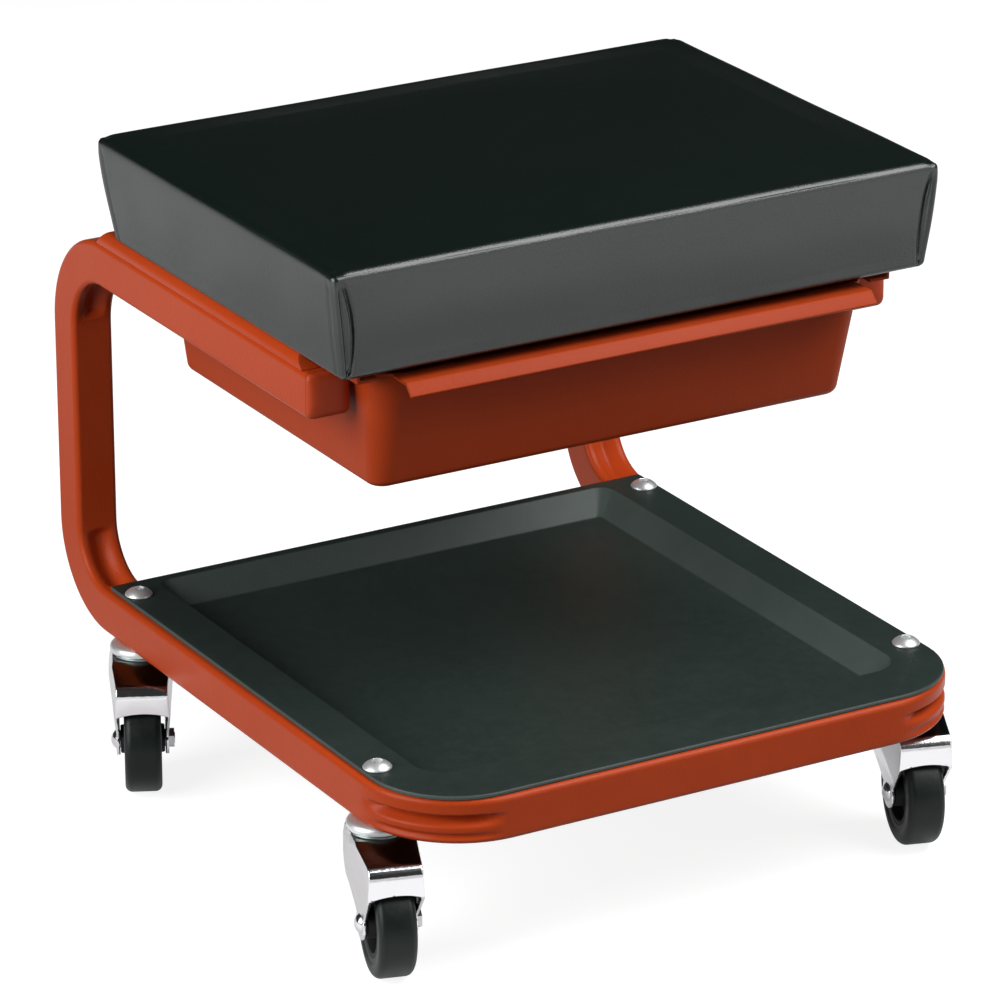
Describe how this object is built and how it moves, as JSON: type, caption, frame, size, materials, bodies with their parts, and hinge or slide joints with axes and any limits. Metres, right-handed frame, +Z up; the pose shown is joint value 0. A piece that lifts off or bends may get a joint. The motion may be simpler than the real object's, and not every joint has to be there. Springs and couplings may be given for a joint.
{
  "type": "creeper seat",
  "caption": "Low rolling workshop seat: padded top on a bent square tube frame, with a sliding drawer, a tool tray and swivel casters.",
  "frame": {"origin": "on the floor, under the middle of the frame's width and of its length", "axes": "+X to the seat's right, +Y to its rear where the posts stand, +Z up"},
  "size_m": [0.3942, 0.412, 0.3832],
  "materials": {
    "paint": "orange-red gloss powder coat",
    "paint_caps": "moulded caps in the frame's colour",
    "drawer_plastic": "smooth moulded plastic in the frame's colour",
    "vinyl": "smooth black vinyl",
    "foam": "open-cell foam",
    "plywood": "raw plywood",
    "tray_plastic": "black moulded plastic with a satin skin",
    "chrome": "bright plated steel",
    "zinc": "zinc plated steel",
    "steel": "plain ground steel",
    "hub_plastic": "black moulded nylon",
    "tyre": "black rubber"
  },
  "bodies": {
    "frame": {"frame_tube": "paint", "rail_end_caps": "paint_caps", "seat_spacer_left": "paint", "seat_spacer_right": "paint", "seat_board": "plywood", "seat_foam": "foam", "seat_cover": "vinyl", "cover_staples": "zinc", "seat_screws": "zinc", "tray": "tray_plastic", "tray_bolts": "chrome", "caster_nuts": "zinc", "front_left_top_race": "chrome", "front_left_kingpin": "zinc", "rear_left_top_race": "chrome", "rear_left_kingpin": "zinc", "front_right_top_race": "chrome", "front_right_kingpin": "zinc", "rear_right_top_race": "chrome", "rear_right_kingpin": "zinc"},
    "drawer": {"drawer": "drawer_plastic"},
    "front_left_fork": {"front_left_fork": "chrome", "front_left_balls": "steel", "front_left_bush": "steel", "front_left_axle_bolt": "chrome", "front_left_axle_nut": "zinc"},
    "front_left_wheel": {"front_left_hub": "hub_plastic", "front_left_tyre": "tyre"},
    "rear_left_fork": {"rear_left_fork": "chrome", "rear_left_balls": "steel", "rear_left_bush": "steel", "rear_left_axle_bolt": "chrome", "rear_left_axle_nut": "zinc"},
    "rear_left_wheel": {"rear_left_hub": "hub_plastic", "rear_left_tyre": "tyre"},
    "front_right_fork": {"front_right_fork": "chrome", "front_right_balls": "steel", "front_right_bush": "steel", "front_right_axle_bolt": "chrome", "front_right_axle_nut": "zinc"},
    "front_right_wheel": {"front_right_hub": "hub_plastic", "front_right_tyre": "tyre"},
    "rear_right_fork": {"rear_right_fork": "chrome", "rear_right_balls": "steel", "rear_right_bush": "steel", "rear_right_axle_bolt": "chrome", "rear_right_axle_nut": "zinc"},
    "rear_right_wheel": {"rear_right_hub": "hub_plastic", "rear_right_tyre": "tyre"}
  },
  "joints": [
    {"name": "drawer_slide", "type": "slide", "parent": "frame", "child": "drawer", "axis": [0, -1, 0], "range_m": [0, 0.14]},
    {"name": "front_left_swivel", "type": "hinge", "parent": "frame", "child": "front_left_fork", "pos_m": [-0.1655, -0.144, 0.0735], "axis": [0, 0, 1], "continuous": true},
    {"name": "front_left_roll", "type": "hinge", "parent": "front_left_fork", "child": "front_left_wheel", "pos_m": [-0.17111, -0.1632, 0.03], "axis": [0.9598, -0.2807, 0], "continuous": true},
    {"name": "rear_left_swivel", "type": "hinge", "parent": "frame", "child": "rear_left_fork", "pos_m": [-0.1655, 0.132, 0.0735], "axis": [0, 0, 1], "continuous": true},
    {"name": "rear_left_roll", "type": "hinge", "parent": "rear_left_fork", "child": "rear_left_wheel", "pos_m": [-0.1743, 0.11404, 0.03], "axis": [0.898, -0.4399, 0], "continuous": true},
    {"name": "front_right_swivel", "type": "hinge", "parent": "frame", "child": "front_right_fork", "pos_m": [0.1655, -0.144, 0.0735], "axis": [0, 0, 1], "continuous": true},
    {"name": "front_right_roll", "type": "hinge", "parent": "front_right_fork", "child": "front_right_wheel", "pos_m": [0.15955, -0.16309, 0.03], "axis": [0.9548, -0.2974, 0], "continuous": true},
    {"name": "rear_right_swivel", "type": "hinge", "parent": "frame", "child": "rear_right_fork", "pos_m": [0.1655, 0.132, 0.0735], "axis": [0, 0, 1], "continuous": true},
    {"name": "rear_right_roll", "type": "hinge", "parent": "rear_right_fork", "child": "rear_right_wheel", "pos_m": [0.1743, 0.11404, 0.03], "axis": [0.898, 0.4399, 0], "continuous": true}
  ]
}
